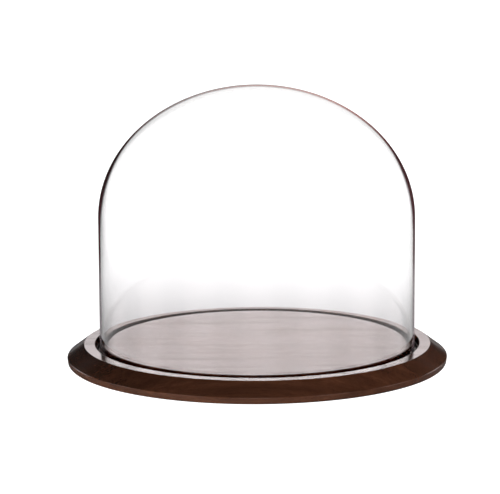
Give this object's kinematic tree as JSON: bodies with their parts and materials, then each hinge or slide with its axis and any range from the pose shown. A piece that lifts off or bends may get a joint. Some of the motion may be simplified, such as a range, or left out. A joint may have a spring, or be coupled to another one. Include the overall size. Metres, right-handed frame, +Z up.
{
  "type": "cheese dome",
  "caption": "Clear glass dome with a straight wall and a domed top, standing in the ring groove of a round bevelled dark wood base; the dome lifts straight off.",
  "frame": {"origin": "centre of the surface the foot pads stand on, under the middle of the round base", "axes": "+Z up along the common axis of base and dome; the base and dome are round, so +X is along the wood's grain and -Y is the side seen in the reference view"},
  "size_m": [0.3066, 0.3066, 0.2257],
  "materials": {
    "glass_dome": "clear polished glass",
    "wooden_base": "dark walnut stain under satin lacquer",
    "foot_pads": "matte rubber"
  },
  "bodies": {
    "base": {"wooden_base": "wooden_base", "foot_pad_1": "foot_pads", "foot_pad_2": "foot_pads", "foot_pad_3": "foot_pads", "foot_pad_4": "foot_pads"},
    "dome": {"glass_dome": "glass_dome"}
  },
  "joints": [
    {"name": "dome_lift", "type": "slide", "parent": "base", "child": "dome", "axis": [0, 0, 1], "range_m": [0, 0.22]}
  ]
}
